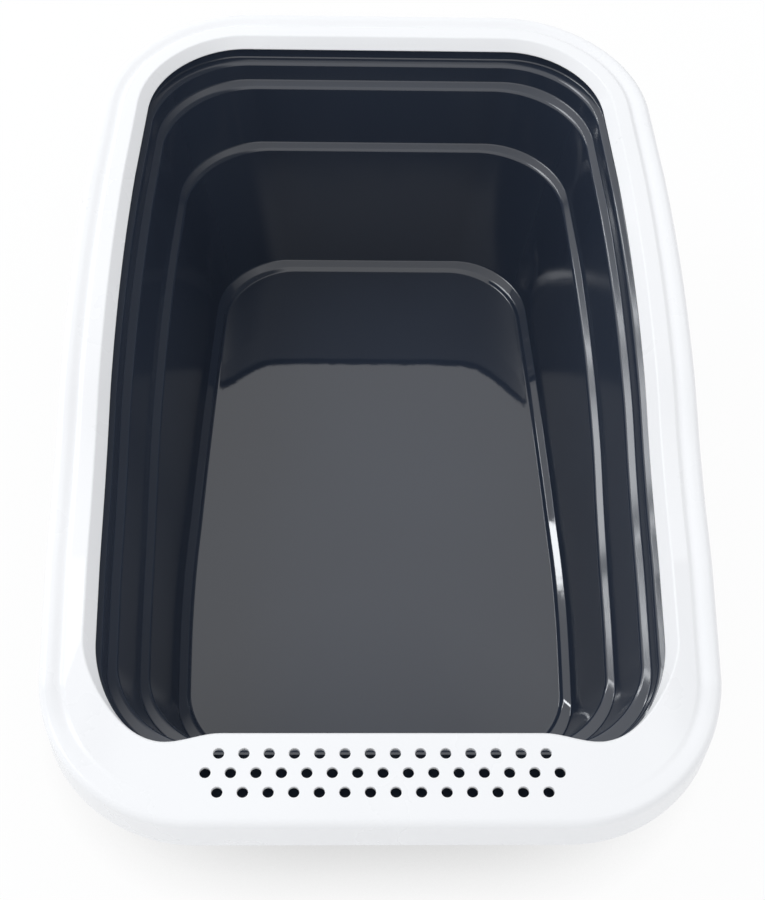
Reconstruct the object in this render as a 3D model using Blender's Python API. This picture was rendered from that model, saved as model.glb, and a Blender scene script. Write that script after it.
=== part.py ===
"""Low litter tray: a stepped basin under a clip-on rim with a perforated front apron.

Metres, +Z up, +X to the right, +Y towards the high back. The origin lies on the
ground, under the middle of the tray.
"""
import math

import bmesh
import bpy

# The rim's opening in plan, from the apron's edge to the back
OPENING_LENGTH = 0.513
OPENING_FRONT_WIDTH = 0.321
OPENING_MIDDLE_WIDTH = 0.335
OPENING_BACK_WIDTH = 0.307
OPENING_BACK_RADIUS = 0.0605
OPENING_FRONT_RADIUS_ACROSS = 0.0386
OPENING_FRONT_RADIUS_ALONG = 0.059

# The apron's edge stands into the opening as a straight tab with curved ends
TAB_REACH = 0.0052
TAB_STRAIGHT_WIDTH = 0.181

# Heights above the ground: the apron, the low sides and the high back
APRON_HEIGHT = 0.1533
SIDE_HEIGHT = 0.1626
BACK_HEIGHT = 0.1972
APRON_DIP_LENGTH = 0.050

# How the sides climb from low to high, as shares of the opening's length and of the rise
CLIMB_PLACE_SHARES = (0.26, 0.36, 0.46, 0.62, 0.80)
CLIMB_HEIGHT_SHARES = (0.0, 0.144, 0.516, 0.865, 1.0)

# The rim's section
RIM_WIDTH = 0.032
APRON_DEPTH = 0.0555
RIM_WALL = 0.0022
RIM_FRONT_RADIUS = 0.0845
RIM_EDGE_RADIUS = 0.006
SKIRT_HEIGHT = 0.027
SKIRT_FLARE = 0.0006
LIP_RUN = 0.0075
LIP_DROP = 0.0075
APRON_LIP_RUN = 0.0009
APRON_LIP_DROP = 0.0040
LIP_FADE_LENGTH = 0.060
LIP_EDGE_RADIUS = 0.0008
LIP_SHOULDER_RADIUS = 0.0022
GROOVE_SETBACK = 0.0090
GROOVE_WIDTH = 0.0070
GROOVE_DEPTH = 0.0014

# The apron's holes
HOLE_DIAMETER = 0.0062
HOLE_PITCH = 0.014
HOLE_ROW_SPACING = 0.01135
HOLE_SETBACK = 0.0246
HOLE_ROW_COUNTS = (14, 15, 14)
HOLE_SIDES = 16

# The basin's walls, flange and floor
BASIN_WALL = 0.0022
FLOOR_THICKNESS = 0.0025
FLANGE_SETBACK = 0.0105
FLANGE_HEM = 0.010
FLANGE_EDGE_RADIUS = 0.0025
MOUTH_SETBACK = 0.0045
MOUTH_DROP = 0.0080
MOUTH_FRONT_DROP = 0.0060
MOUTH_RADIUS = 0.0028
SHELF_OUTER_DROP = 0.004
SHELF_INNER_DROP = 0.009

# Ledges: how far each edge stands in from the opening, its width and its drop below the rim.
# Each ledge slopes down towards the basin's middle.
TOP_LEDGE_INSET = 0.0016
TOP_LEDGE_WIDTH = 0.0050
TOP_LEDGE_DROP = 0.0189
MIDDLE_LEDGE_INSET = 0.0085
MIDDLE_LEDGE_WIDTH = 0.0055
MIDDLE_LEDGE_DROP = 0.0352
LOWER_LEDGE_INSET = 0.0223
LOWER_LEDGE_WIDTH = 0.0055
LOWER_LEDGE_DROP = 0.0845
LEDGE_SLOPE_SHARE = 0.45
LEDGE_EDGE_RADIUS = 0.0036
LEDGE_ROOT_RADIUS = 0.0014

# How much of the apron's dip each ledge follows at the front
TOP_LEDGE_DIP_SHARE = 1.0
MIDDLE_LEDGE_DIP_SHARE = 0.55

# The lowest wall leans in by this share of its height
LOWER_WALL_LEAN_SHARE = 0.169

# A last sloping ledge runs round the floor, with a low step below it
FOOT_LEDGE_WIDTH = 0.0055
FOOT_STEP_HEIGHT = 0.0025
FOOT_STEP_RUN = 0.0018
FOOT_EDGE_RADIUS = 0.0030
FLOOR_FILLET_RADIUS = 0.0015

# The front wall leans more than the sides, and the corners tighten slowly on the way down
FRONT_LEAN_SHARE = 1.3
BASIN_FRONT_RADIUS = 0.0505
BACK_RADIUS_LOSS_SHARE = 0.217
FRONT_RADIUS_LOSS_SHARE = 0.10

# Gaps between the two mouldings
SEAT_GAP = 0.0004
SKIRT_GAP = 0.0008
OVERRUN = 0.004

# Points along the outline
TAB_STEPS = 5
CORNER_STEPS = 8
SIDE_STEPS = 12
GROOVE_STEPS = 4
FILLET_STEPS = 3

# Derived places
TRAY_LENGTH = APRON_DEPTH + OPENING_LENGTH + RIM_WIDTH
APRON_EDGE_Y = APRON_DEPTH - TRAY_LENGTH / 2
FRONT_Y = APRON_EDGE_Y - TAB_REACH
BACK_Y = APRON_EDGE_Y + OPENING_LENGTH
MIDDLE_Y = (APRON_EDGE_Y + BACK_Y) / 2
FLOOR_Z = FLOOR_THICKNESS
FLANGE_DROP = RIM_WALL + GROOVE_DEPTH + SEAT_GAP
FOOT_EDGE_Z = FLOOR_Z + FOOT_STEP_HEIGHT
FOOT_ROOT_Z = FOOT_EDGE_Z + LEDGE_SLOPE_SHARE * FOOT_LEDGE_WIDTH
RIM_BACK_RADIUS = OPENING_BACK_RADIUS + RIM_WIDTH
RIM_FRONT_Y = APRON_EDGE_Y - APRON_DEPTH


def smoothstep(share):
    """Ease from 0 to 1, flat at both ends."""
    share = min(max(share, 0.0), 1.0)
    return share * share * (3 - 2 * share)


def climb(share):
    """Height share of the rise at a place share, a smooth curve through the table."""
    places, heights = CLIMB_PLACE_SHARES, CLIMB_HEIGHT_SHARES
    if share <= places[0]:
        return heights[0]
    if share >= places[-1]:
        return heights[-1]
    slopes = [0.0]
    for i in range(1, len(places) - 1):
        slopes.append((heights[i + 1] - heights[i - 1]) / (places[i + 1] - places[i - 1]))
    slopes.append(0.0)
    i = max(k for k in range(len(places) - 1) if places[k] <= share)
    width = places[i + 1] - places[i]
    u = (share - places[i]) / width
    start, end = heights[i], heights[i + 1]
    eased = start + (end - start) * u * u * (3 - 2 * u)
    return eased + width * u * (1 - u) * (slopes[i] * (1 - u) - slopes[i + 1] * u)


def side_line(y):
    """Height of the rim's crest at y, leaving out the apron's dip."""
    rise = climb((y - APRON_EDGE_Y) / OPENING_LENGTH)
    return SIDE_HEIGHT + (BACK_HEIGHT - SIDE_HEIGHT) * rise


def front_share(y):
    """1 at the apron, 0 where the sides reach their own height."""
    return 1 - smoothstep((y - APRON_EDGE_Y) / APRON_DIP_LENGTH)


def crest(y):
    """Height of the rim's crest at y."""
    return side_line(y) - (SIDE_HEIGHT - APRON_HEIGHT) * front_share(y)


def opening_half_width(y):
    """Half of the opening's width at y: a barrel that is widest near the middle."""
    t = 2 * (y - MIDDLE_Y) / OPENING_LENGTH
    taper = (OPENING_BACK_WIDTH - OPENING_FRONT_WIDTH) / 2
    barrel = (OPENING_BACK_WIDTH + OPENING_FRONT_WIDTH) / 2 - OPENING_MIDDLE_WIDTH
    return (OPENING_MIDDLE_WIDTH + taper * t + barrel * t * t) / 2


def place_on(points, height):
    """Give each outline point its height."""
    return [(x, y, height(x, y)) for x, y in points]


def closed_outline(inset, front_y, back_y, across, along, back_radius, tab_reach=0.0):
    """Outline as (x, y) points, anticlockwise from the front's middle.

    inset(y) is how far the sides stand in from the rim's opening. The front corners are
    quarter ellipses and the back corners are quarter circles.
    """
    half = []
    corner_x = opening_half_width(front_y) - inset(front_y) - across
    straight_x = min(TAB_STRAIGHT_WIDTH / 2, 0.9 * corner_x)
    half.append((0.0, front_y + tab_reach))
    for i in range(TAB_STEPS):
        share = i / TAB_STEPS
        x = straight_x + (corner_x - straight_x) * share
        half.append((x, front_y + tab_reach * (1 - smoothstep(share))))
    for i in range(CORNER_STEPS + 1):
        angle = math.pi / 2 * i / CORNER_STEPS
        y = front_y + along * (1 - math.cos(angle))
        half.append((opening_half_width(y) - inset(y) - across * (1 - math.sin(angle)), y))
    for y in SIDE_PLACES:
        half.append((opening_half_width(y) - inset(y), y))
    for i in range(CORNER_STEPS + 1):
        angle = math.pi / 2 * i / CORNER_STEPS
        y = back_y - back_radius * (1 - math.sin(angle))
        half.append((opening_half_width(y) - inset(y) - back_radius * (1 - math.cos(angle)), y))
    half.append((0.0, back_y))
    return half + [(-x, y) for x, y in reversed(half[1:-1])]


def side_places():
    """The y of each point along the sides, the same for every outline."""
    start = APRON_EDGE_Y + SIDE_START_SHARE * OPENING_LENGTH
    end = APRON_EDGE_Y + SIDE_END_SHARE * OPENING_LENGTH
    return [start + (end - start) * i / SIDE_STEPS for i in range(SIDE_STEPS + 1)]


SIDE_START_SHARE = 0.20
SIDE_END_SHARE = 0.84
SIDE_PLACES = side_places()


def lip_share(y):
    """0 at the apron, where the lip is a plain edge, and 1 along the sides."""
    return smoothstep((y - FRONT_Y) / LIP_FADE_LENGTH)


def opening_outline(front_out, side_out):
    """The rim's opening moved outwards, by one distance at the apron and another at the sides."""
    def inset(y):
        return -front_out - (side_out - front_out) * lip_share(y)
    return closed_outline(inset, FRONT_Y - front_out, BACK_Y + side_out,
                          OPENING_FRONT_RADIUS_ACROSS + front_out,
                          OPENING_FRONT_RADIUS_ALONG + front_out,
                          OPENING_BACK_RADIUS + side_out, TAB_REACH)


def outer_outline(setback):
    """The rim's outer face, moved inwards by setback."""
    radius = RIM_FRONT_RADIUS - setback
    return closed_outline(lambda y: setback - RIM_WIDTH, RIM_FRONT_Y + setback,
                          BACK_Y + RIM_WIDTH - setback, radius, radius,
                          RIM_BACK_RADIUS - setback)


def basin_outline(inset, extra=None):
    """A level of the basin, inset from the rim's opening; extra(y) adds to the sides' inset."""
    def side_inset(y):
        return inset + (extra(y) if extra else 0.0)
    lean = FRONT_LEAN_SHARE if inset > 0 else 1.0
    front_y = FRONT_Y + lean * side_inset(FRONT_Y)
    back_y = BACK_Y - side_inset(BACK_Y)
    front_radius = BASIN_FRONT_RADIUS - FRONT_RADIUS_LOSS_SHARE * side_inset(FRONT_Y)
    back_radius = OPENING_BACK_RADIUS - BACK_RADIUS_LOSS_SHARE * side_inset(BACK_Y)
    return closed_outline(side_inset, front_y, back_y, front_radius, front_radius, back_radius)


def fillet(before, corner, after, radius, steps):
    """Points of an arc that rounds a corner of a section, in (run, rise)."""
    def direction(point):
        run, rise = point[0] - corner[0], point[1] - corner[1]
        length = math.hypot(run, rise)
        return run / length, rise / length, length
    ax, ay, reach_a = direction(before)
    bx, by, reach_b = direction(after)
    half_angle = math.acos(max(-1.0, min(1.0, ax * bx + ay * by))) / 2
    cut = min(radius / math.tan(half_angle), 0.45 * reach_a, 0.45 * reach_b)
    radius = cut * math.tan(half_angle)
    mx, my = ax + bx, ay + by
    scale = radius / math.sin(half_angle) / math.hypot(mx, my)
    centre = (corner[0] + mx * scale, corner[1] + my * scale)
    start = math.atan2(corner[1] + ay * cut - centre[1], corner[0] + ax * cut - centre[0])
    end = math.atan2(corner[1] + by * cut - centre[1], corner[0] + bx * cut - centre[0])
    sweep = (end - start + math.pi) % (2 * math.pi) - math.pi
    arc = []
    for i in range(steps + 1):
        angle = start + sweep * i / steps
        arc.append((centre[0] + radius * math.cos(angle), centre[1] + radius * math.sin(angle)))
    return arc


def loft(name, loops, closed, colour, roughness, collection):
    """A body from a stack of outlines with equal point counts."""
    mesh = bpy.data.meshes.new(name)
    shape = bmesh.new()
    rings = [[shape.verts.new(point) for point in loop] for loop in loops]
    count = len(rings[0])
    pairs = list(zip(rings, rings[1:]))
    if closed:
        pairs.append((rings[-1], rings[0]))
    for lower, upper in pairs:
        for i in range(count):
            j = (i + 1) % count
            shape.faces.new((lower[i], lower[j], upper[j], upper[i]))
    if not closed:
        shape.faces.new(list(reversed(rings[0])))
        shape.faces.new(rings[-1])
    bmesh.ops.recalc_face_normals(shape, faces=shape.faces)
    shape.to_mesh(mesh)
    shape.free()
    mesh.shade_smooth()
    mesh.set_sharp_from_angle(angle=math.radians(SHARP_ANGLE_DEGREES))
    mesh.materials.append(plastic(name + "_plastic", colour, roughness))
    body = bpy.data.objects.new(name, mesh)
    collection.objects.link(body)
    return body


SHARP_ANGLE_DEGREES = 32


def plastic(name, colour, roughness):
    """A plain moulded plastic."""
    material = bpy.data.materials.new(name)
    material.use_nodes = True
    surface = material.node_tree.nodes["Principled BSDF"]
    surface.inputs["Base Color"].default_value = (*colour, 1.0)
    surface.inputs["Roughness"].default_value = roughness
    surface.inputs["Metallic"].default_value = 0.0
    return material


def lip_section(run, drop):
    """The inner lip as (run, rise): foot, rounded edge, rounded shoulder and underside."""
    slope = math.hypot(run, drop)
    lean = run / drop
    foot = (RIM_WALL * slope / drop, -drop)
    edge = (0.0, -drop)
    shoulder = (run, 0.0)
    beyond = (run + LIP_RUN, 0.0)
    under = (foot[0] + lean * (drop - RIM_WALL), -RIM_WALL)
    return ([foot] + fillet(foot, edge, shoulder, LIP_EDGE_RADIUS, FILLET_STEPS - 1)
            + fillet(edge, shoulder, beyond, LIP_SHOULDER_RADIUS, FILLET_STEPS) + [under])


def lip_loops():
    """The lip's loops, blended from a plain edge at the apron to the slope along the sides."""
    loops = []
    front = lip_section(APRON_LIP_RUN, APRON_LIP_DROP)
    side = lip_section(LIP_RUN, LIP_DROP)
    for (front_run, front_rise), (side_run, side_rise) in zip(front, side):
        def height(x, y, low=front_rise, high=side_rise):
            return crest(y) + low + (high - low) * lip_share(y)
        loops.append(place_on(opening_outline(front_run, side_run), height))
    return loops


def groove_loops(lift):
    """One face of the shallow groove that runs round the crest and fades out on the apron."""
    loops = []
    for i in range(GROOVE_STEPS + 1):
        share = i / GROOVE_STEPS
        depth = GROOVE_DEPTH * math.sin(math.pi * share) ** 2
        outline = outer_outline(GROOVE_SETBACK + GROOVE_WIDTH * share)
        loops.append(place_on(outline, lambda x, y, depth=depth:
                              crest(y) + lift - depth * groove_share(y)))
    return loops


def groove_share(y):
    """Full depth along the sides and the back, none on the apron."""
    return smoothstep((y - RIM_FRONT_Y - GROOVE_SETBACK) / (APRON_DEPTH + APRON_DIP_LENGTH))


def skirt_loops():
    """The rounded outer edge, the skirt and the rounded inside of both."""
    foot = (-SKIRT_FLARE, -SKIRT_HEIGHT)
    inner_foot = (RIM_WALL - SKIRT_FLARE, -SKIRT_HEIGHT)
    outside = fillet((GROOVE_SETBACK, 0.0), (0.0, 0.0), foot, RIM_EDGE_RADIUS, FILLET_STEPS + 1)
    inside = fillet(inner_foot, (RIM_WALL, -RIM_WALL), (GROOVE_SETBACK, -RIM_WALL),
                    RIM_EDGE_RADIUS - RIM_WALL, FILLET_STEPS - 1)
    return [place_on(outer_outline(setback), lambda x, y, rise=rise: crest(y) + rise)
            for setback, rise in outside + [foot, inner_foot] + inside]


def make_rim(collection):
    """The rim with its lip, groove, skirt and apron."""
    lip = lip_loops()
    top = list(reversed(groove_loops(0.0)))
    under = groove_loops(-RIM_WALL)
    loops = lip[:-1] + top + skirt_loops() + under + [lip[-1]]
    return loft("rim", loops, True, RIM_COLOUR, RIM_ROUGHNESS, collection)


def perforate(rim, collection):
    """Cut the staggered rows of round holes through the apron."""
    shape = bmesh.new()
    depth = RIM_WALL + 2 * OVERRUN
    middle_row = (len(HOLE_ROW_COUNTS) - 1) / 2
    for row, count in enumerate(HOLE_ROW_COUNTS):
        y = APRON_EDGE_Y - HOLE_SETBACK + (middle_row - row) * HOLE_ROW_SPACING
        for i in range(count):
            x = (i - (count - 1) / 2) * HOLE_PITCH
            made = bmesh.ops.create_cone(shape, cap_ends=True, segments=HOLE_SIDES,
                                         radius1=HOLE_DIAMETER / 2, radius2=HOLE_DIAMETER / 2,
                                         depth=depth)
            bmesh.ops.translate(shape, verts=made["verts"], vec=(x, y, APRON_HEIGHT - RIM_WALL / 2))
    mesh = bpy.data.meshes.new("apron_holes")
    shape.to_mesh(mesh)
    shape.free()
    cutter = bpy.data.objects.new("apron_holes", mesh)
    cutter.hide_render = True
    cutter.display_type = "WIRE"
    collection.objects.link(cutter)
    cut = rim.modifiers.new("holes", "BOOLEAN")
    cut.operation = "DIFFERENCE"
    cut.solver = "EXACT"
    cut.object = cutter


def ledge_levels():
    """The ledges from the lowest up, as (inset, drop below the sides, dip at the front)."""
    dip = SIDE_HEIGHT - APRON_HEIGHT
    ledges = [
        (LOWER_LEDGE_INSET, LOWER_LEDGE_WIDTH, LOWER_LEDGE_DROP, 0.0),
        (MIDDLE_LEDGE_INSET, MIDDLE_LEDGE_WIDTH, MIDDLE_LEDGE_DROP, MIDDLE_LEDGE_DIP_SHARE * dip),
        (TOP_LEDGE_INSET, TOP_LEDGE_WIDTH, TOP_LEDGE_DROP, TOP_LEDGE_DIP_SHARE * dip),
    ]
    levels = []
    for inset, width, drop, front_dip in ledges:
        levels.append((inset, drop, front_dip))
        levels.append((inset - width, drop - LEDGE_SLOPE_SHARE * width, front_dip))
    levels.append((-MOUTH_SETBACK, MOUTH_DROP, dip + MOUTH_FRONT_DROP))
    levels.append((-FLANGE_SETBACK, FLANGE_DROP, dip + SHELF_INNER_DROP))
    return levels


def foot_levels():
    """The last ledge and the step at the floor, as (inset before the wall's lean, height)."""
    edge = LOWER_LEDGE_INSET + FOOT_LEDGE_WIDTH
    return [(edge + FOOT_STEP_RUN, FLOOR_Z), (edge, FOOT_EDGE_Z), (LOWER_LEDGE_INSET, FOOT_ROOT_Z)]


def lower_wall_lean(y):
    """How far the lowest wall leans in between its two ledges."""
    return LOWER_WALL_LEAN_SHARE * (side_line(y) - LOWER_LEDGE_DROP - FOOT_ROOT_Z)


def wall_corners():
    """Section corners of the inner surface from the floor up to the flange, as (run, rise)."""
    corners = [(inset + lower_wall_lean(MIDDLE_Y), height) for inset, height in foot_levels()]
    for inset, drop, dip in ledge_levels():
        corners.append((inset, side_line(MIDDLE_Y) - drop))
    return corners


def corner_arcs(corners, radii, steps):
    """The offsets of each rounded corner's points from the corner itself."""
    first = (corners[0][0] + FLOOR_FILLET_RADIUS * 4, corners[0][1])
    last = (corners[-1][0] - FLANGE_SETBACK * 2, corners[-1][1])
    ends = [first] + corners + [last]
    arcs = []
    for i, corner in enumerate(corners):
        arc = fillet(ends[i], corner, ends[i + 2], radii[i], steps[i])
        arcs.append([(run - corner[0], rise - corner[1]) for run, rise in arc])
    return arcs


def basin_surface(offset, floor_z, radii, steps):
    """Loops of one surface of the basin from its floor up to its flange.

    offset moves the whole surface outwards and down, for the outside of the wall.
    """
    corners = [(run - offset, rise - offset) for run, rise in wall_corners()]
    corners[0] = (corners[0][0], floor_z)
    arcs = corner_arcs(corners, radii, steps)
    loops = []
    for (inset, height), corner, arc in zip(foot_levels(), corners, arcs):
        for run, rise in arc:
            outline = basin_outline(inset - offset + run, lower_wall_lean)
            loops.append(place_on(outline, lambda x, y, level=corner[1] + rise: level))
    for (inset, drop, dip), arc in zip(ledge_levels(), arcs[len(foot_levels()):]):
        for run, rise in arc:
            outline = basin_outline(inset - offset + run)
            level = rise - drop - offset
            loops.append(place_on(outline, lambda x, y, level=level, dip=dip:
                                  side_line(y) + level - dip * front_share(y)))
    return loops


def flange_loops():
    """The flange's outer edge and its hem, inside the rim's skirt."""
    face = RIM_WALL + SKIRT_GAP
    top = (face, -FLANGE_DROP)
    foot = (face, top[1] - FLANGE_HEM)
    within = (face + FLANGE_HEM, top[1])
    edge = fillet(within, top, foot, FLANGE_EDGE_RADIUS, FILLET_STEPS)
    back = face + BASIN_WALL
    path = edge + [foot, (back, foot[1]), (back, top[1] - BASIN_WALL)]
    return [place_on(outer_outline(setback), lambda x, y, rise=rise:
                     crest(y) + rise - SHELF_OUTER_DROP * front_share(y))
            for setback, rise in path]


def make_basin(collection):
    """The basin: floor, stepped walls, flange and hem, as one thin moulding."""
    thin = LEDGE_EDGE_RADIUS - BASIN_WALL
    thick = LEDGE_ROOT_RADIUS + BASIN_WALL
    few = FILLET_STEPS - 1
    inner_radii = ([FLOOR_FILLET_RADIUS, FOOT_EDGE_RADIUS, LEDGE_ROOT_RADIUS]
                   + [LEDGE_EDGE_RADIUS, LEDGE_ROOT_RADIUS] * 3 + [MOUTH_RADIUS] * 2)
    inner_steps = [few, few, 1] + [FILLET_STEPS, few] * 3 + [1, few]
    outer_radii = ([FLOOR_FILLET_RADIUS + BASIN_WALL, FOOT_EDGE_RADIUS - BASIN_WALL, thick]
                   + [thin, thick] * 3 + [MOUTH_RADIUS - BASIN_WALL] * 2)
    outer_steps = [few, 1, 1] + [1, few] * 3 + [1, 1]
    inside = basin_surface(0.0, FLOOR_Z, inner_radii, inner_steps)
    outside = basin_surface(BASIN_WALL, 0.0, outer_radii, outer_steps)
    loops = inside + flange_loops() + list(reversed(outside))
    return loft("basin", loops, False, BASIN_COLOUR, BASIN_ROUGHNESS, collection)


RIM_COLOUR = (0.86, 0.87, 0.89)
RIM_ROUGHNESS = 0.35
BASIN_COLOUR = (0.030, 0.034, 0.044)
BASIN_ROUGHNESS = 0.12


def main():
    for old in list(bpy.data.objects):
        bpy.data.objects.remove(old, do_unlink=True)
    parts = bpy.data.collections.new("litter_tray")
    cutters = bpy.data.collections.new("cutters")
    for collection in (parts, cutters):
        bpy.context.scene.collection.children.link(collection)
    make_basin(parts)
    perforate(make_rim(parts), cutters)


main()
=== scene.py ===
"""Looks for the low litter tray: a dark glossy basin under a white perforated rim.

Metres, +Z up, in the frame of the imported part.
"""
import math

import bmesh
import bpy
from mathutils import Matrix, Vector


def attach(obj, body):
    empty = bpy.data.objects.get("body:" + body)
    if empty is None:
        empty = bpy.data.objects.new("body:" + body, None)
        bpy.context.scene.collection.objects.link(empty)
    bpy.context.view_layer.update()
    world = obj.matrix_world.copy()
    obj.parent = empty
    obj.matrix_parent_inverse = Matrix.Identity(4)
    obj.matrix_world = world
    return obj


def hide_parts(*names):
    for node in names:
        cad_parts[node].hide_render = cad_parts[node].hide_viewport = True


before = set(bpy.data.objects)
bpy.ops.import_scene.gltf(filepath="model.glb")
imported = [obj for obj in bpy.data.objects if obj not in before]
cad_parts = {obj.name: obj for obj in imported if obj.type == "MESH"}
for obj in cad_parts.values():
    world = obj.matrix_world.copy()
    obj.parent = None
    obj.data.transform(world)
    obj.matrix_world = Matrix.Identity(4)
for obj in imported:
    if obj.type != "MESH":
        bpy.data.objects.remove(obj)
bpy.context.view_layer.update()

# The rim's opening in plan, from the apron's edge to the back
OPENING_LENGTH = 0.513
OPENING_FRONT_WIDTH = 0.321
OPENING_MIDDLE_WIDTH = 0.335
OPENING_BACK_WIDTH = 0.307
OPENING_BACK_RADIUS = 0.0605
OPENING_FRONT_RADIUS_ACROSS = 0.0386
OPENING_FRONT_RADIUS_ALONG = 0.059

# The apron's edge stands into the opening as a straight tab with curved ends
TAB_REACH = 0.0052
TAB_STRAIGHT_WIDTH = 0.181
TAB_WIDEST_SHARE = 0.9

# Heights above the ground: the apron, the low sides and the high back
APRON_HEIGHT = 0.1533
SIDE_HEIGHT = 0.1626
BACK_HEIGHT = 0.1972
APRON_DIP_LENGTH = 0.050

# How the sides climb from low to high, as shares of the opening's length and of the rise
CLIMB_PLACE_SHARES = (0.26, 0.36, 0.46, 0.62, 0.80)
CLIMB_HEIGHT_SHARES = (0.0, 0.144, 0.516, 0.865, 1.0)

# The rim's section
RIM_WIDTH = 0.032
APRON_DEPTH = 0.0555
RIM_WALL = 0.0022
RIM_FRONT_RADIUS = 0.0845
RIM_EDGE_RADIUS = 0.0045
SKIRT_HEIGHT = 0.027
SKIRT_FLARE = 0.0006
LIP_RUN = 0.0075
LIP_DROP = 0.0075
APRON_LIP_RUN = 0.0009
APRON_LIP_DROP = 0.0040
LIP_FADE_LENGTH = 0.060
LIP_EDGE_RADIUS = 0.0008
LIP_SHOULDER_RADIUS = 0.0022
GROOVE_SETBACK = 0.0060
GROOVE_WIDTH = 0.0095
GROOVE_DEPTH = 0.0014
GROOVE_DEEPEST_SHARE = 0.65

# The apron's holes
HOLE_DIAMETER = 0.0062
HOLE_PITCH = 0.014
HOLE_ROW_SPACING = 0.01135
HOLE_SETBACK = 0.0246
HOLE_ROW_COUNTS = (14, 15, 14)
HOLE_SIDES = 32

# Each hole's upper edge is softened in two steps, and this share of it is the first
HOLE_SOFTENING = 0.0004
HOLE_FIRST_STEP_SHARE = 0.3

# The basin's walls, flange and floor
BASIN_WALL = 0.0022
FLOOR_THICKNESS = 0.0025
FLANGE_SETBACK = 0.0105
FLANGE_HEM = 0.010
FLANGE_EDGE_RADIUS = 0.0025
MOUTH_SETBACK = 0.0045
MOUTH_DROP = 0.0080
MOUTH_FRONT_DROP = 0.0015
MOUTH_RADIUS = 0.0028
SHELF_OUTER_DROP = 0.0035
SHELF_INNER_DROP = 0.0045

# Ledges: how far each edge stands in from the opening, its width and its drop below the rim.
# Each ledge slopes down towards the basin's middle.
TOP_LEDGE_INSET = 0.0016
TOP_LEDGE_WIDTH = 0.0050
TOP_LEDGE_DROP = 0.0189
MIDDLE_LEDGE_INSET = 0.0085
MIDDLE_LEDGE_WIDTH = 0.0055
MIDDLE_LEDGE_DROP = 0.0352
LOWER_LEDGE_INSET = 0.0223
LOWER_LEDGE_WIDTH = 0.0055
LOWER_LEDGE_DROP = 0.0845
LEDGE_SLOPE_SHARE = 0.45
LEDGE_EDGE_RADIUS = 0.0036
LEDGE_ROOT_RADIUS = 0.0014

# How much of the apron's dip each ledge follows at the front
TOP_LEDGE_DIP_SHARE = 1.0
MIDDLE_LEDGE_DIP_SHARE = 0.55

# The lowest wall leans in by this share of its height
LOWER_WALL_LEAN_SHARE = 0.169

# A last sloping ledge runs round the floor, with a low step below it
FOOT_LEDGE_WIDTH = 0.0055
FOOT_STEP_HEIGHT = 0.0025
FOOT_STEP_RUN = 0.0018
FOOT_EDGE_RADIUS = 0.0030
FLOOR_FILLET_RADIUS = 0.0015

# The front wall leans more than the sides, and the corners tighten slowly on the way down
FRONT_LEAN_SHARE = 1.3
BASIN_FRONT_RADIUS = 0.0505
BACK_RADIUS_LOSS_SHARE = 0.217
FRONT_RADIUS_LOSS_SHARE = 0.10

# Gaps between the two mouldings
SEAT_GAP = 0.0004
SKIRT_GAP = 0.0008

# How far the holes' cutter passes the apron above and below
OVERRUN = 0.004

# Where the points along the sides start and end, as shares of the opening's length
SIDE_START_SHARE = 0.20
SIDE_END_SHARE = 0.76

# Points along the outline and in the section
TAB_STEPS = 10
CORNER_STEPS = 28
SIDE_STEPS = 48
GROOVE_STEPS = 12
FILLET_STEPS = 6

# A fillet takes no more than this share of the edges beside it
FILLET_REACH_SHARE = 0.45

# Edges that turn more than this are drawn sharp
SHARP_ANGLE_DEGREES = 32

# The photograph's width and the camera fitted to it: focal length in pixels, tilt in degrees,
# turn and roll in radians, and its place before the turn
PHOTO_WIDTH = 765
CAMERA_FOCAL = 1590.7
CAMERA_TILT = 55.790
CAMERA_TURN = 0.04762
CAMERA_ROLL = 0.04411
CAMERA_PLACE = (0.00464, -0.61521, 0.97825)
SENSOR_WIDTH = 36.0

# The studio floor lies just under the tray
FLOOR_REACH = 4.0
STUDIO_FLOOR_Z = -0.0003
STUDIO_FLOOR_COLOUR = (0.92, 0.92, 0.92)
STUDIO_FLOOR_ROUGHNESS = 0.9
STUDIO_FLOOR_SPECULAR = 0.1
FLOOR_WHITENING = 0.95

# Light: one soft lamp from the left and an even dome
LAMP_AIM = (0.0, 0.0, 0.1)
KEY_PLACE = (-1.9, 0.5, 2.5)
KEY_SIZE = (1.2, 1.2)
KEY_ENERGY = 19.0
KEY_COLOUR = (0.94, 0.97, 1.0)
DOME_STRENGTH = 0.905
DOME_COLOUR = (0.97, 0.985, 1.0)

# A narrow lamp from the back left, for the fine glints along the ledges
STRIP_PLACE = (-1.25, 1.15, 1.25)
STRIP_SIZE = (0.07, 1.6)
STRIP_ENERGY = 4.0

# The surround as gloss shows it: white, a little greyer on the left and overhead, and dim on
# the right. The starts and ends are places along a direction of length 1.
GLOSS_LEFT = 0.9
GLOSS_RIGHT = 0.12
GLOSS_START_X = 0.20
GLOSS_END_X = 0.45
GLOSS_TOP = 0.72
GLOSS_TOP_Z = 0.88

# A painted shadow: the floor's white darkens in a soft ring where the tray meets the floor
PAINTED_SHADOW_REACH = 0.09
PAINTED_SHADOW_DEPTH = 0.9
PAINTED_SHADOW_SAMPLES = 8

# The rim's plastic: two close colours, the range of its roughness, and how strong its bumps are
WHITE = (0.892, 0.891, 0.901)
WHITE_SHADE = (0.877, 0.877, 0.888)
RIM_GLOSS = (0.26, 0.34)
RIM_IOR = 1.48
RIM_PEEL = 0.04
RIM_GRAIN = 0.10

# The basin's plastic, with a more polished floor
DARK = (0.027, 0.036, 0.056)
DARK_SHADE = (0.025, 0.033, 0.052)
BASIN_GLOSS = (0.12, 0.17)
BASIN_IOR = 1.75
BASIN_PEEL = 0.02
BASIN_GRAIN = 0.02
BASIN_FLOOR_GLOSS = 0.03

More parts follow.
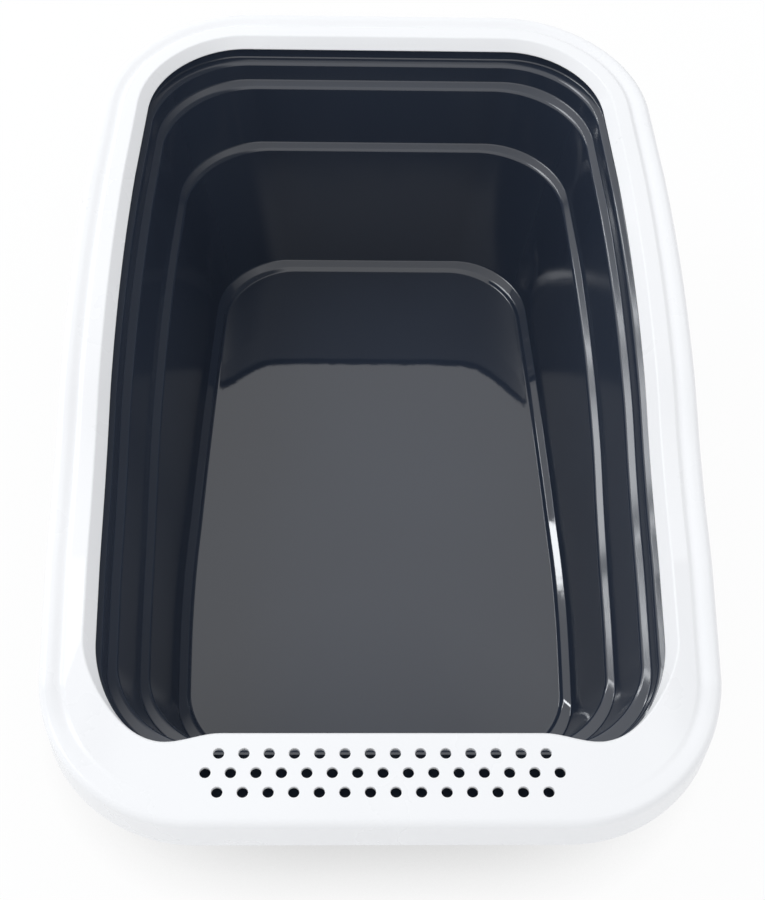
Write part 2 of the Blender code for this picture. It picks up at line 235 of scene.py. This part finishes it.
# The textures of both plastics: scale per metre and detail
COLOUR_DRIFT = (7.0, 2.0)
GLOSS_DRIFT = (22.0, 5.0)
ORANGE_PEEL = (160.0, 1.0)
FINE_GRAIN = (1500.0, 2.0)
PEEL_HEIGHT = 0.0005
GRAIN_HEIGHT = 0.0001

# The part of a noise texture's values that is spread over a whole range
NOISE_LOW = 0.35
NOISE_HIGH = 0.65

# The basin's floor is drawn in rings, with a slight crown
FLOOR_RING_SHARES = (0.04, 0.12, 0.25, 0.40, 0.55, 0.70, 0.82, 0.91, 0.97, 0.995)
FLOOR_CROWN = 0.0034
CROWN_EDGE_POWER = 6

# The floor's polish fades out between this height above its crown and three times as much
POLISH_HEIGHT = 0.001

# How firmly large faces decide the normals at their edges
NORMAL_WEIGHT = 90

# Derived places
TRAY_LENGTH = APRON_DEPTH + OPENING_LENGTH + RIM_WIDTH
APRON_EDGE_Y = APRON_DEPTH - TRAY_LENGTH / 2
FRONT_Y = APRON_EDGE_Y - TAB_REACH
BACK_Y = APRON_EDGE_Y + OPENING_LENGTH
MIDDLE_Y = (APRON_EDGE_Y + BACK_Y) / 2
FLOOR_Z = FLOOR_THICKNESS
FLANGE_DROP = RIM_WALL + GROOVE_DEPTH + SEAT_GAP
FOOT_EDGE_Z = FLOOR_Z + FOOT_STEP_HEIGHT
FOOT_ROOT_Z = FOOT_EDGE_Z + LEDGE_SLOPE_SHARE * FOOT_LEDGE_WIDTH
RIM_BACK_RADIUS = OPENING_BACK_RADIUS + RIM_WIDTH
RIM_FRONT_Y = APRON_EDGE_Y - APRON_DEPTH
FLOOR_RUN_ON = FLOOR_FILLET_RADIUS * 4
FLANGE_RUN_ON = FLANGE_SETBACK * 2


def smoothstep(share):
    """Ease from 0 to 1, flat at both ends."""
    share = min(max(share, 0.0), 1.0)
    return share * share * (3 - 2 * share)


def climb(share):
    """Height share of the rise at a place share, a smooth curve through the table."""
    places, heights = CLIMB_PLACE_SHARES, CLIMB_HEIGHT_SHARES
    if share <= places[0]:
        return heights[0]
    if share >= places[-1]:
        return heights[-1]
    slopes = [0.0]
    for i in range(1, len(places) - 1):
        slopes.append((heights[i + 1] - heights[i - 1]) / (places[i + 1] - places[i - 1]))
    slopes.append(0.0)
    i = max(k for k in range(len(places) - 1) if places[k] <= share)
    width = places[i + 1] - places[i]
    u = (share - places[i]) / width
    start, end = heights[i], heights[i + 1]
    eased = start + (end - start) * u * u * (3 - 2 * u)
    return eased + width * u * (1 - u) * (slopes[i] * (1 - u) - slopes[i + 1] * u)


def side_line(y):
    """Height of the rim's crest at y, leaving out the apron's dip."""
    rise = climb((y - APRON_EDGE_Y) / OPENING_LENGTH)
    return SIDE_HEIGHT + (BACK_HEIGHT - SIDE_HEIGHT) * rise


def front_share(y):
    """1 at the apron, 0 where the sides reach their own height."""
    return 1 - smoothstep((y - APRON_EDGE_Y) / APRON_DIP_LENGTH)


def crest(y):
    """Height of the rim's crest at y."""
    return side_line(y) - (SIDE_HEIGHT - APRON_HEIGHT) * front_share(y)


def opening_half_width(y):
    """Half of the opening's width at y: a barrel that is widest near the middle."""
    t = 2 * (y - MIDDLE_Y) / OPENING_LENGTH
    taper = (OPENING_BACK_WIDTH - OPENING_FRONT_WIDTH) / 2
    barrel = (OPENING_BACK_WIDTH + OPENING_FRONT_WIDTH) / 2 - OPENING_MIDDLE_WIDTH
    return (OPENING_MIDDLE_WIDTH + taper * t + barrel * t * t) / 2


def place_on(points, height):
    """Give each outline point its height."""
    return [(x, y, height(x, y)) for x, y in points]


def closed_outline(inset, front_y, back_y, across, along, back_radius, tab_reach=0.0):
    """Outline as (x, y) points, anticlockwise from the front's middle.

    inset(y) is how far the sides stand in from the rim's opening. The front corners are
    quarter ellipses and the back corners are quarter circles.
    """
    half = []
    corner_x = opening_half_width(front_y) - inset(front_y) - across
    straight_x = min(TAB_STRAIGHT_WIDTH / 2, TAB_WIDEST_SHARE * corner_x)
    half.append((0.0, front_y + tab_reach))
    for i in range(TAB_STEPS):
        share = i / TAB_STEPS
        x = straight_x + (corner_x - straight_x) * share
        half.append((x, front_y + tab_reach * (1 - smoothstep(share))))
    for i in range(CORNER_STEPS + 1):
        angle = math.pi / 2 * i / CORNER_STEPS
        y = front_y + along * (1 - math.cos(angle))
        half.append((opening_half_width(y) - inset(y) - across * (1 - math.sin(angle)), y))
    for y in SIDE_PLACES:
        half.append((opening_half_width(y) - inset(y), y))
    for i in range(CORNER_STEPS + 1):
        angle = math.pi / 2 * i / CORNER_STEPS
        y = back_y - back_radius * (1 - math.sin(angle))
        half.append((opening_half_width(y) - inset(y) - back_radius * (1 - math.cos(angle)), y))
    half.append((0.0, back_y))
    return half + [(-x, y) for x, y in reversed(half[1:-1])]


def side_places():
    """The y of each point along the sides, the same for every outline."""
    start = APRON_EDGE_Y + SIDE_START_SHARE * OPENING_LENGTH
    end = APRON_EDGE_Y + SIDE_END_SHARE * OPENING_LENGTH
    return [start + (end - start) * i / SIDE_STEPS for i in range(SIDE_STEPS + 1)]


SIDE_PLACES = side_places()


def lip_share(y):
    """0 at the apron, where the lip is a plain edge, and 1 along the sides."""
    return smoothstep((y - FRONT_Y) / LIP_FADE_LENGTH)


def opening_outline(front_out, side_out):
    """The rim's opening moved outwards, by one distance at the apron and another at the sides."""
    def inset(y):
        return -front_out - (side_out - front_out) * lip_share(y)
    return closed_outline(inset, FRONT_Y - front_out, BACK_Y + side_out,
                          OPENING_FRONT_RADIUS_ACROSS + front_out,
                          OPENING_FRONT_RADIUS_ALONG + front_out,
                          OPENING_BACK_RADIUS + side_out, TAB_REACH)


def outer_outline(setback):
    """The rim's outer face, moved inwards by setback."""
    radius = RIM_FRONT_RADIUS - setback
    return closed_outline(lambda y: setback - RIM_WIDTH, RIM_FRONT_Y + setback,
                          BACK_Y + RIM_WIDTH - setback, radius, radius,
                          RIM_BACK_RADIUS - setback)


def basin_outline(inset, extra=None):
    """A level of the basin, inset from the rim's opening; extra(y) adds to the sides' inset."""
    def side_inset(y):
        return inset + (extra(y) if extra else 0.0)
    lean = FRONT_LEAN_SHARE if inset > 0 else 1.0
    front_y = FRONT_Y + lean * side_inset(FRONT_Y)
    back_y = BACK_Y - side_inset(BACK_Y)
    front_radius = BASIN_FRONT_RADIUS - FRONT_RADIUS_LOSS_SHARE * side_inset(FRONT_Y)
    back_radius = OPENING_BACK_RADIUS - BACK_RADIUS_LOSS_SHARE * side_inset(BACK_Y)
    return closed_outline(side_inset, front_y, back_y, front_radius, front_radius, back_radius)


def fillet(before, corner, after, radius, steps):
    """Points of an arc that rounds a corner of a section, in (run, rise)."""
    def direction(point):
        run, rise = point[0] - corner[0], point[1] - corner[1]
        length = math.hypot(run, rise)
        return run / length, rise / length, length
    ax, ay, reach_a = direction(before)
    bx, by, reach_b = direction(after)
    half_angle = math.acos(max(-1.0, min(1.0, ax * bx + ay * by))) / 2
    cut = min(radius / math.tan(half_angle), FILLET_REACH_SHARE * reach_a,
              FILLET_REACH_SHARE * reach_b)
    radius = cut * math.tan(half_angle)
    mx, my = ax + bx, ay + by
    scale = radius / math.sin(half_angle) / math.hypot(mx, my)
    centre = (corner[0] + mx * scale, corner[1] + my * scale)
    start = math.atan2(corner[1] + ay * cut - centre[1], corner[0] + ax * cut - centre[0])
    end = math.atan2(corner[1] + by * cut - centre[1], corner[0] + bx * cut - centre[0])
    sweep = (end - start + math.pi) % (2 * math.pi) - math.pi
    arc = []
    for i in range(steps + 1):
        angle = start + sweep * i / steps
        arc.append((centre[0] + radius * math.cos(angle), centre[1] + radius * math.sin(angle)))
    return arc


def loft(name, loops, closed, material):
    """A body from a stack of outlines with equal point counts.

    closed joins the last outline to the first; otherwise both get a cap.
    """
    mesh = bpy.data.meshes.new(name)
    shape = bmesh.new()
    rings = [[shape.verts.new(point) for point in loop] for loop in loops]
    count = len(rings[0])
    pairs = list(zip(rings, rings[1:]))
    if closed:
        pairs.append((rings[-1], rings[0]))
    for lower, upper in pairs:
        for i in range(count):
            j = (i + 1) % count
            shape.faces.new((lower[i], lower[j], upper[j], upper[i]))
    if not closed:
        shape.faces.new(list(reversed(rings[0])))
        shape.faces.new(rings[-1])
    bmesh.ops.recalc_face_normals(shape, faces=shape.faces)
    shape.to_mesh(mesh)
    shape.free()
    mesh.shade_smooth()
    mesh.set_sharp_from_angle(angle=math.radians(SHARP_ANGLE_DEGREES))
    mesh.materials.append(material)
    body = bpy.data.objects.new(name, mesh)
    bpy.context.scene.collection.objects.link(body)
    return body


def even_normals(body):
    """Keep flat faces flat in gloss: large faces decide the normals at their edges."""
    weighted = body.modifiers.new("even_normals", "WEIGHTED_NORMAL")
    weighted.mode = "FACE_AREA"
    weighted.weight = NORMAL_WEIGHT
    weighted.keep_sharp = True


def lip_section(run, drop):
    """The inner lip as (run, rise): foot, rounded edge, rounded shoulder and underside."""
    slope = math.hypot(run, drop)
    lean = run / drop
    foot = (RIM_WALL * slope / drop, -drop)
    edge = (0.0, -drop)
    shoulder = (run, 0.0)
    beyond = (run + LIP_RUN, 0.0)
    under = (foot[0] + lean * (drop - RIM_WALL), -RIM_WALL)
    return ([foot] + fillet(foot, edge, shoulder, LIP_EDGE_RADIUS, FILLET_STEPS - 1)
            + fillet(edge, shoulder, beyond, LIP_SHOULDER_RADIUS, FILLET_STEPS) + [under])


def lip_loops():
    """The lip's loops, blended from a plain edge at the apron to the slope along the sides."""
    loops = []
    front = lip_section(APRON_LIP_RUN, APRON_LIP_DROP)
    side = lip_section(LIP_RUN, LIP_DROP)
    for (front_run, front_rise), (side_run, side_rise) in zip(front, side):
        def height(x, y, low=front_rise, high=side_rise):
            return crest(y) + low + (high - low) * lip_share(y)
        loops.append(place_on(opening_outline(front_run, side_run), height))
    return loops


def groove_loops(lift):
    """One face of the shallow groove that runs round the crest and fades out on the apron."""
    loops = []
    for i in range(GROOVE_STEPS + 1):
        share = i / GROOVE_STEPS
        rising = min(share / GROOVE_DEEPEST_SHARE, (1 - share) / (1 - GROOVE_DEEPEST_SHARE))
        depth = GROOVE_DEPTH * smoothstep(rising)
        outline = outer_outline(GROOVE_SETBACK + GROOVE_WIDTH * share)
        loops.append(place_on(outline, lambda x, y, depth=depth:
                              crest(y) + lift - depth * groove_share(y)))
    return loops


def groove_share(y):
    """Full depth along the sides and the back, none on the apron."""
    return smoothstep((y - RIM_FRONT_Y - GROOVE_SETBACK) / (APRON_DEPTH + APRON_DIP_LENGTH))


def skirt_loops():
    """The rounded outer edge, the skirt and the rounded inside of both."""
    foot = (-SKIRT_FLARE, -SKIRT_HEIGHT)
    inner_foot = (RIM_WALL - SKIRT_FLARE, -SKIRT_HEIGHT)
    outside = fillet((RIM_WIDTH, 0.0), (0.0, 0.0), foot, RIM_EDGE_RADIUS, FILLET_STEPS + 1)
    inside = fillet(inner_foot, (RIM_WALL, -RIM_WALL), (RIM_WIDTH, -RIM_WALL),
                    RIM_EDGE_RADIUS - RIM_WALL, FILLET_STEPS - 1)
    return [place_on(outer_outline(setback), lambda x, y, rise=rise: crest(y) + rise)
            for setback, rise in outside + [foot, inner_foot] + inside]


def make_rim(material):
    """The rim with its lip, groove, skirt and perforated apron."""
    lip = lip_loops()
    top = list(reversed(groove_loops(0.0)))
    under = groove_loops(-RIM_WALL)
    loops = lip[:-1] + top + skirt_loops() + under + [lip[-1]]
    rim = loft("rim_frame", loops, True, material)
    perforate(rim)
    even_normals(rim)
    return rim


def perforate(rim):
    """Cut the staggered rows of round holes, each with a softened upper edge."""
    shape = bmesh.new()
    radius = HOLE_DIAMETER / 2
    middle_row = (len(HOLE_ROW_COUNTS) - 1) / 2
    levels = [(radius, -RIM_WALL - OVERRUN), (radius, -HOLE_SOFTENING),
              (radius + HOLE_FIRST_STEP_SHARE * HOLE_SOFTENING,
               -HOLE_FIRST_STEP_SHARE * HOLE_SOFTENING),
              (radius + HOLE_SOFTENING, 0.0), (radius + HOLE_SOFTENING, OVERRUN)]
    for row, count in enumerate(HOLE_ROW_COUNTS):
        y = APRON_EDGE_Y - HOLE_SETBACK + (middle_row - row) * HOLE_ROW_SPACING
        for i in range(count):
            x = (i - (count - 1) / 2) * HOLE_PITCH
            punch(shape, x, y, levels)
    mesh = bpy.data.meshes.new("apron_holes")
    shape.to_mesh(mesh)
    shape.free()
    cutter = bpy.data.objects.new("apron_holes", mesh)
    bpy.context.scene.collection.objects.link(cutter)
    cut = rim.modifiers.new("holes", "BOOLEAN")
    cut.operation = "DIFFERENCE"
    cut.solver = "EXACT"
    cut.object = cutter
    bpy.context.view_layer.update()
    shown = rim.evaluated_get(bpy.context.evaluated_depsgraph_get())
    finished = bpy.data.meshes.new_from_object(shown)
    rim.modifiers.clear()
    rim.data = finished
    bpy.data.objects.remove(cutter, do_unlink=True)


def punch(shape, x, y, levels):
    """One closed round cutter with a radius at each level below the apron's top."""
    rings = []
    for radius, rise in levels:
        ring = []
        for i in range(HOLE_SIDES):
            angle = 2 * math.pi * i / HOLE_SIDES
            ring.append(shape.verts.new((x + radius * math.cos(angle), y + radius * math.sin(angle),
                                         APRON_HEIGHT + rise)))
        rings.append(ring)
    for lower, upper in zip(rings, rings[1:]):
        for i in range(HOLE_SIDES):
            j = (i + 1) % HOLE_SIDES
            shape.faces.new((lower[i], lower[j], upper[j], upper[i]))
    shape.faces.new(list(reversed(rings[0])))
    shape.faces.new(rings[-1])


def ledge_levels():
    """The ledges from the lowest up, as (inset, drop below the sides, dip at the front)."""
    dip = SIDE_HEIGHT - APRON_HEIGHT
    ledges = [
        (LOWER_LEDGE_INSET, LOWER_LEDGE_WIDTH, LOWER_LEDGE_DROP, 0.0),
        (MIDDLE_LEDGE_INSET, MIDDLE_LEDGE_WIDTH, MIDDLE_LEDGE_DROP, MIDDLE_LEDGE_DIP_SHARE * dip),
        (TOP_LEDGE_INSET, TOP_LEDGE_WIDTH, TOP_LEDGE_DROP, TOP_LEDGE_DIP_SHARE * dip),
    ]
    levels = []
    for inset, width, drop, front_dip in ledges:
        levels.append((inset, drop, front_dip))
        levels.append((inset - width, drop - LEDGE_SLOPE_SHARE * width, front_dip))
    levels.append((-MOUTH_SETBACK, MOUTH_DROP, dip + MOUTH_FRONT_DROP))
    levels.append((-FLANGE_SETBACK, FLANGE_DROP, dip + SHELF_INNER_DROP))
    return levels


def foot_levels():
    """The last ledge and the step at the floor, as (inset before the wall's lean, height)."""
    edge = LOWER_LEDGE_INSET + FOOT_LEDGE_WIDTH
    return [(edge + FOOT_STEP_RUN, FLOOR_Z), (edge, FOOT_EDGE_Z), (LOWER_LEDGE_INSET, FOOT_ROOT_Z)]


def lower_wall_lean(y):
    """How far the lowest wall leans in between its two ledges."""
    return LOWER_WALL_LEAN_SHARE * (side_line(y) - LOWER_LEDGE_DROP - FOOT_ROOT_Z)


def wall_corners():
    """Section corners of the inner surface from the floor up to the flange, as (run, rise)."""
    corners = [(inset + lower_wall_lean(MIDDLE_Y), height) for inset, height in foot_levels()]
    for inset, drop, _ in ledge_levels():
        corners.append((inset, side_line(MIDDLE_Y) - drop))
    return corners


def corner_arcs(corners, radii, steps):
    """The offsets of each rounded corner's points from the corner itself.

    The section runs on level beyond its first and last corner.
    """
    first = (corners[0][0] + FLOOR_RUN_ON, corners[0][1])
    last = (corners[-1][0] - FLANGE_RUN_ON, corners[-1][1])
    ends = [first] + corners + [last]
    arcs = []
    for i, corner in enumerate(corners):
        arc = fillet(ends[i], corner, ends[i + 2], radii[i], steps[i])
        arcs.append([(run - corner[0], rise - corner[1]) for run, rise in arc])
    return arcs


def basin_surface(offset, floor_z, radii, steps):
    """Loops of one surface of the basin from its floor up to its flange.

    offset moves the whole surface outwards and down, for the outside of the wall.
    """
    corners = [(run - offset, rise - offset) for run, rise in wall_corners()]
    corners[0] = (corners[0][0], floor_z)
    arcs = corner_arcs(corners, radii, steps)
    loops = []
    for (inset, height), corner, arc in zip(foot_levels(), corners, arcs):
        for run, rise in arc:
            outline = basin_outline(inset - offset + run, lower_wall_lean)
            loops.append(place_on(outline, lambda x, y, level=corner[1] + rise: level))
    for (inset, drop, dip), arc in zip(ledge_levels(), arcs[len(foot_levels()):]):
        for run, rise in arc:
            outline = basin_outline(inset - offset + run)
            level = rise - drop - offset
            loops.append(place_on(outline, lambda x, y, level=level, dip=dip:
                                  side_line(y) + level - dip * front_share(y)))
    return loops


def flange_loops():
    """The flange's outer edge and its hem, inside the rim's skirt."""
    face = RIM_WALL + SKIRT_GAP
    top = (face, -FLANGE_DROP)
    foot = (face, top[1] - FLANGE_HEM)
    within = (face + FLANGE_HEM, top[1])
    edge = fillet(within, top, foot, FLANGE_EDGE_RADIUS, FILLET_STEPS)
    back = face + BASIN_WALL
    path = edge + [foot, (back, foot[1]), (back, top[1] - BASIN_WALL)]
    return [place_on(outer_outline(setback), lambda x, y, rise=rise:
                     crest(y) + rise - SHELF_OUTER_DROP * front_share(y))
            for setback, rise in path]


def floor_rings(edge, crown):
    """Rings from the middle of a floor out to its edge, crowned a little between its long sides."""
    half_width = max(x for x, _, _ in edge)
    rings = []
    for share in FLOOR_RING_SHARES:
        ring = []
        for x, y, z in edge:
            across = x * share / half_width
            rise = crown * (1 - across ** 2) * (1 - share ** CROWN_EDGE_POWER)
            ring.append((x * share, MIDDLE_Y + (y - MIDDLE_Y) * share, z + rise))
        rings.append(ring)
    return rings


def make_basin(material):
    """The basin: floor, stepped walls, flange and hem, as one thin moulding."""
    thin = LEDGE_EDGE_RADIUS - BASIN_WALL
    thick = LEDGE_ROOT_RADIUS + BASIN_WALL
    few = FILLET_STEPS - 1
    inner_radii = ([FLOOR_FILLET_RADIUS, FOOT_EDGE_RADIUS, LEDGE_ROOT_RADIUS]
                   + [LEDGE_EDGE_RADIUS, LEDGE_ROOT_RADIUS] * 3 + [MOUTH_RADIUS] * 2)
    inner_steps = [few, few, few] + [FILLET_STEPS, few] * 3 + [few, few]
    outer_radii = ([FLOOR_FILLET_RADIUS + BASIN_WALL, FOOT_EDGE_RADIUS - BASIN_WALL, thick]
                   + [thin, thick] * 3 + [MOUTH_RADIUS - BASIN_WALL] * 2)
    outer_steps = [few, few, few] + [few, few] * 3 + [few, few]
    inside = basin_surface(0.0, FLOOR_Z, inner_radii, inner_steps)
    outside = basin_surface(BASIN_WALL, 0.0, outer_radii, outer_steps)
    loops = (floor_rings(inside[0], FLOOR_CROWN) + inside + flange_loops()
             + list(reversed(floor_rings(outside[0], FLOOR_CROWN) + outside)))
    basin = loft("basin_shell", loops, False, material)
    even_normals(basin)
    return basin


def camera():
    """The camera that matches the photograph, from a fit to the tray's outlines."""
    tilt = math.radians(CAMERA_TILT)
    turn = CAMERA_TURN
    right = Vector((math.cos(turn), -math.sin(turn), 0.0))
    ahead = Vector((math.sin(turn) * math.cos(tilt), math.cos(turn) * math.cos(tilt),
                    -math.sin(tilt)))
    up = right.cross(ahead)
    across = right * math.cos(CAMERA_ROLL) + up * math.sin(CAMERA_ROLL)
    upright = up * math.cos(CAMERA_ROLL) - right * math.sin(CAMERA_ROLL)
    x, y, z = CAMERA_PLACE
    place = Vector((x * math.cos(turn) + y * math.sin(turn),
                    y * math.cos(turn) - x * math.sin(turn), z))
    data = bpy.data.cameras.new("camera")
    data.sensor_fit = "HORIZONTAL"
    data.sensor_width = SENSOR_WIDTH
    data.lens = SENSOR_WIDTH * CAMERA_FOCAL / PHOTO_WIDTH
    eye = bpy.data.objects.new("camera", data)
    bpy.context.scene.collection.objects.link(eye)
    matrix = Matrix((across, upright, -ahead)).transposed().to_4x4()
    matrix.translation = place
    eye.matrix_world = matrix
    bpy.context.scene.camera = eye


def node_set(material):
    """The nodes and links of a material, and its Principled surface."""
    material.use_nodes = True
    tree = material.node_tree
    return tree.nodes, tree.links, tree.nodes["Principled BSDF"]


def noise(nodes, links, place, pattern, name):
    """A noise texture in the object's own metres; pattern is its scale and detail."""
    scale, detail = pattern
    texture = nodes.new("ShaderNodeTexNoise")
    texture.name = name
    texture.inputs["Scale"].default_value = scale
    texture.inputs["Detail"].default_value = detail
    links.new(place.outputs["Object"], texture.inputs["Vector"])
    return texture


def ranged(nodes, links, source, low, high, start=NOISE_LOW, end=NOISE_HIGH):
    """Map a value that runs from start to end to one that runs from low to high."""
    mapper = nodes.new("ShaderNodeMapRange")
    mapper.inputs["From Min"].default_value = start
    mapper.inputs["From Max"].default_value = end
    mapper.inputs["To Min"].default_value = low
    mapper.inputs["To Max"].default_value = high
    links.new(source, mapper.inputs["Value"])
    return mapper.outputs["Result"]


def blend_colours(nodes, links, factor, first, second):
    """A mix of two colours by a texture's value."""
    mix = nodes.new("ShaderNodeMix")
    mix.data_type = "RGBA"
    mix.inputs["A"].default_value = (*first, 1.0)
    mix.inputs["B"].default_value = (*second, 1.0)
    links.new(factor, mix.inputs["Factor"])
    return mix.outputs["Result"]


def smoother_floor(nodes, links, place, rough, floor_gloss):
    """The walls' roughness, with a polished floor below the lowest ledge."""
    split = nodes.new("ShaderNodeSeparateXYZ")
    links.new(place.outputs["Object"], split.inputs["Vector"])
    floor_top = FLOOR_Z + FLOOR_CROWN
    height = ranged(nodes, links, split.outputs["Z"], 0.0, 1.0,
                    floor_top + POLISH_HEIGHT, floor_top + 3 * POLISH_HEIGHT)
    mix = nodes.new("ShaderNodeMix")
    mix.inputs["A"].default_value = floor_gloss
    links.new(height, mix.inputs["Factor"])
    links.new(rough, mix.inputs["B"])
    return mix.outputs["Result"]


def bump(nodes, links, texture, strength, height):
    """A bump from a texture, height metres deep at full strength."""
    node = nodes.new("ShaderNodeBump")
    node.inputs["Strength"].default_value = strength
    node.inputs["Distance"].default_value = height
    links.new(texture.outputs["Fac"], node.inputs["Height"])
    return node


def moulded_plastic(name, colour, shade, gloss, ior, orange_peel, grain, floor_gloss=None):
    """Moulded plastic: slow colour drift, uneven gloss, orange peel and a fine grain."""
    material = bpy.data.materials.new(name)
    nodes, links, surface = node_set(material)
    surface.inputs["IOR"].default_value = ior
    place = nodes.new("ShaderNodeTexCoord")
    drift = noise(nodes, links, place, COLOUR_DRIFT, "colour_drift")
    share = ranged(nodes, links, drift.outputs["Fac"], 0.0, 1.0)
    colours = blend_colours(nodes, links, share, colour, shade)
    links.new(colours, surface.inputs["Base Color"])
    haze = noise(nodes, links, place, GLOSS_DRIFT, "gloss_drift")
    rough = ranged(nodes, links, haze.outputs["Fac"], *gloss)
    if floor_gloss is not None:
        rough = smoother_floor(nodes, links, place, rough, floor_gloss)
    links.new(rough, surface.inputs["Roughness"])
    peel = noise(nodes, links, place, ORANGE_PEEL, "orange_peel")
    fine = noise(nodes, links, place, FINE_GRAIN, "fine_grain")
    first = bump(nodes, links, peel, orange_peel, PEEL_HEIGHT)
    second = bump(nodes, links, fine, grain, GRAIN_HEIGHT)
    links.new(first.outputs["Normal"], second.inputs["Normal"])
    links.new(second.outputs["Normal"], surface.inputs["Normal"])
    return material


def pick(nodes, links, operation, first, second):
    """The greater or the lesser of two values, by MAXIMUM or MINIMUM."""
    node = nodes.new("ShaderNodeMath")
    node.operation = operation
    links.new(first, node.inputs[0])
    links.new(second, node.inputs[1])
    return node.outputs["Value"]


def seen_directly(nodes, links):
    """1 for what the camera sees, straight or in gloss or glass, and 0 for light on surfaces."""
    path = nodes.new("ShaderNodeLightPath")
    value = path.outputs["Is Camera Ray"]
    for ray in ("Is Glossy Ray", "Is Transmission Ray"):
        value = pick(nodes, links, "MAXIMUM", value, path.outputs[ray])
    return value


def lamp(name, place, size, energy):
    """A rectangular lamp that points at the tray."""
    data = bpy.data.lights.new(name, "AREA")
    data.shape = "RECTANGLE"
    data.size, data.size_y = size
    data.energy = energy
    data.color = KEY_COLOUR
    light = bpy.data.objects.new(name, data)
    light.location = place
    ahead = Vector(LAMP_AIM) - Vector(place)
    light.rotation_euler = ahead.to_track_quat("-Z", "Y").to_euler()
    bpy.context.scene.collection.objects.link(light)


def painted_contact_shadow(nodes, links):
    """Strength of the painted shadow: 1 on the open floor, and less close under the tray."""
    near = nodes.new("ShaderNodeAmbientOcclusion")
    near.samples = PAINTED_SHADOW_SAMPLES
    near.inputs["Distance"].default_value = PAINTED_SHADOW_REACH
    return ranged(nodes, links, near.outputs["AO"], 1 - PAINTED_SHADOW_DEPTH, 1.0, 0.0, 1.0)


def studio():
    """A pale floor with a painted shadow under the tray, a white surround, one soft lamp from the
    left and a narrow one for glints.
    """
    floor_mesh = bpy.data.meshes.new("studio_floor")
    shape = bmesh.new()
    bmesh.ops.create_grid(shape, x_segments=1, y_segments=1, size=FLOOR_REACH)
    shape.to_mesh(floor_mesh)
    shape.free()
    floor = bpy.data.objects.new("studio_floor", floor_mesh)
    floor.location = (0.0, 0.0, STUDIO_FLOOR_Z)
    bpy.context.scene.collection.objects.link(floor)
    material = bpy.data.materials.new("studio_floor")
    nodes, links, surface = node_set(material)
    surface.inputs["Base Color"].default_value = (*STUDIO_FLOOR_COLOUR, 1.0)
    surface.inputs["Roughness"].default_value = STUDIO_FLOOR_ROUGHNESS
    surface.inputs["Specular IOR Level"].default_value = STUDIO_FLOOR_SPECULAR
    whiten = nodes.new("ShaderNodeMath")
    whiten.operation = "MULTIPLY"
    whiten.inputs[1].default_value = FLOOR_WHITENING
    links.new(seen_directly(nodes, links), whiten.inputs[0])
    white = nodes.new("ShaderNodeEmission")
    # The white's strength falls near the tray: painted shadow, added on top of what the lamps cast
    links.new(painted_contact_shadow(nodes, links), white.inputs["Strength"])
    mix = nodes.new("ShaderNodeMixShader")
    links.new(whiten.outputs["Value"], mix.inputs["Fac"])
    links.new(surface.outputs["BSDF"], mix.inputs[1])
    links.new(white.outputs["Emission"], mix.inputs[2])
    links.new(mix.outputs["Shader"], nodes["Material Output"].inputs["Surface"])
    floor_mesh.materials.append(material)
    lamp("key_lamp", KEY_PLACE, KEY_SIZE, KEY_ENERGY)
    lamp("strip_lamp", STRIP_PLACE, STRIP_SIZE, STRIP_ENERGY)
    surround()


def gloss_strength(nodes, links):
    """The surround's strength in gloss, by its direction, and at least 1 for the camera."""
    where = nodes.new("ShaderNodeTexCoord")
    split = nodes.new("ShaderNodeSeparateXYZ")
    links.new(where.outputs["Generated"], split.inputs["Vector"])
    right = ranged(nodes, links, split.outputs["X"], 1.0, GLOSS_RIGHT, GLOSS_START_X, GLOSS_END_X)
    left = ranged(nodes, links, split.outputs["X"], GLOSS_LEFT, 1.0, -GLOSS_END_X, -GLOSS_START_X)
    top = ranged(nodes, links, split.outputs["Z"], 1.0, GLOSS_TOP, GLOSS_TOP_Z, 1.0)
    least = top
    for value in (left, right):
        least = pick(nodes, links, "MINIMUM", least, value)
    path = nodes.new("ShaderNodeLightPath")
    return pick(nodes, links, "MAXIMUM", least, path.outputs["Is Camera Ray"])


def surround():
    """A white world: full white for the camera, uneven in gloss, a little dimmer as light."""
    world = bpy.data.worlds.new("surround")
    bpy.context.scene.world = world
    world.use_nodes = True
    nodes, links = world.node_tree.nodes, world.node_tree.links
    nodes.clear()
    light = nodes.new("ShaderNodeBackground")
    light.inputs["Color"].default_value = (*DOME_COLOUR, 1.0)
    light.inputs["Strength"].default_value = DOME_STRENGTH
    shown = nodes.new("ShaderNodeBackground")
    shown.inputs["Color"].default_value = (1.0, 1.0, 1.0, 1.0)
    links.new(gloss_strength(nodes, links), shown.inputs["Strength"])
    mix = nodes.new("ShaderNodeMixShader")
    links.new(seen_directly(nodes, links), mix.inputs["Fac"])
    links.new(light.outputs["Background"], mix.inputs[1])
    links.new(shown.outputs["Background"], mix.inputs[2])
    output = nodes.new("ShaderNodeOutputWorld")
    links.new(mix.outputs["Shader"], output.inputs["Surface"])


def main():
    """Replace the two CAD nodes with finer lofts of the same sizes, and light them."""
    bpy.context.scene.view_settings.view_transform = "Standard"
    camera()
    white = moulded_plastic("white_plastic", WHITE, WHITE_SHADE, RIM_GLOSS, RIM_IOR,
                            RIM_PEEL, RIM_GRAIN)
    dark = moulded_plastic("dark_plastic", DARK, DARK_SHADE, BASIN_GLOSS, BASIN_IOR,
                           BASIN_PEEL, BASIN_GRAIN, BASIN_FLOOR_GLOSS)
    basin = make_basin(dark)
    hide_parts("basin")
    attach(basin, "tray")
    rim = make_rim(white)
    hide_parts("rim")
    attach(rim, "rim")
    studio()


main()
